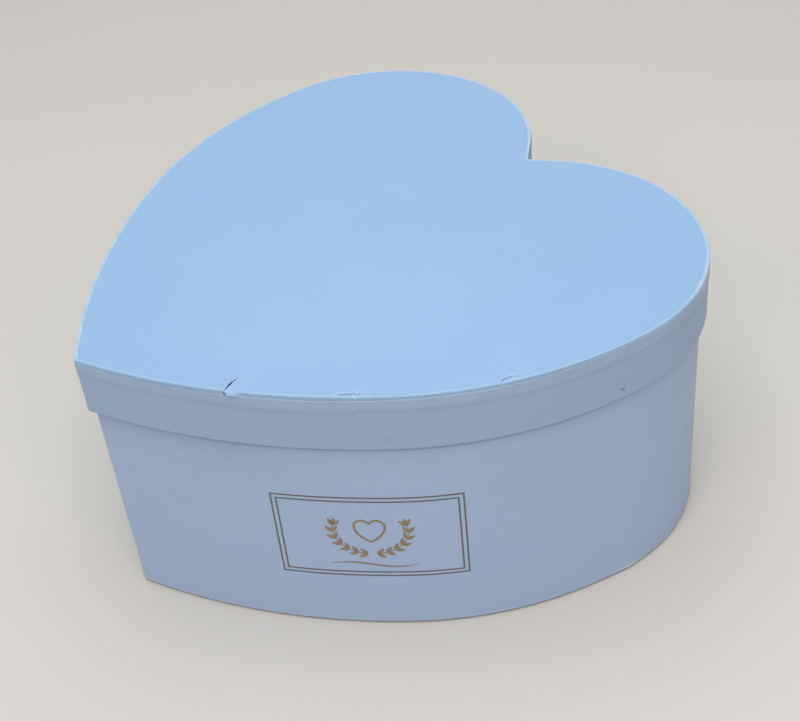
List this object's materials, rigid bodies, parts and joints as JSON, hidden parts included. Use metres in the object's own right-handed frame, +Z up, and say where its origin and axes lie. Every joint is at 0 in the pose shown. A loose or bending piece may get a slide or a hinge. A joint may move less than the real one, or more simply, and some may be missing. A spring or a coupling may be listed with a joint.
{
  "type": "heart-shaped gift box",
  "caption": "Heart-shaped rigid gift box of paper-covered board with a deep rimmed lid that lifts off, for flowers, sweets or keepsakes, with a foil-framed panel on one wall.",
  "frame": {"origin": "under the middle of the lid's outline, on the surface that the box stands on", "axes": "+Z up through the lid, -Y towards the heart's tip, +Y towards its cleft, +X towards the wall with the foil-framed panel"},
  "size_m": [0.25, 0.2426, 0.1234],
  "materials": {
    "cover_paper": "satin",
    "lining_paper": "matte",
    "greyboard": "matte",
    "stay_tape": "satin",
    "gold_foil": "satin"
  },
  "bodies": {
    "body": {"bottom_sheet": "lining_paper", "body_wrap": "cover_paper", "wall_board_right": "greyboard", "wall_board_left": "greyboard", "base_board": "greyboard", "tip_stay": "stay_tape", "cleft_stay": "stay_tape", "wall_lining": "lining_paper", "floor_lining": "lining_paper", "foil_border_outer": "gold_foil", "foil_border_inner": "gold_foil", "foil_heart": "gold_foil", "foil_sprig_right": "gold_foil", "foil_sprig_left": "gold_foil", "foil_flourish": "gold_foil"},
    "lid": {"lid_top_sheet": "cover_paper", "lid_rim_wrap": "cover_paper", "lid_rim_board_right": "greyboard", "lid_rim_board_left": "greyboard", "lid_top_board": "greyboard", "lid_tip_stay": "stay_tape", "lid_cleft_stay": "stay_tape", "lid_rim_lining": "lining_paper", "lid_lining": "lining_paper"}
  },
  "joints": [
    {"name": "lid_lift", "type": "slide", "parent": "body", "child": "lid", "axis": [0, 0, 1], "range_m": [0, 0.1]}
  ]
}
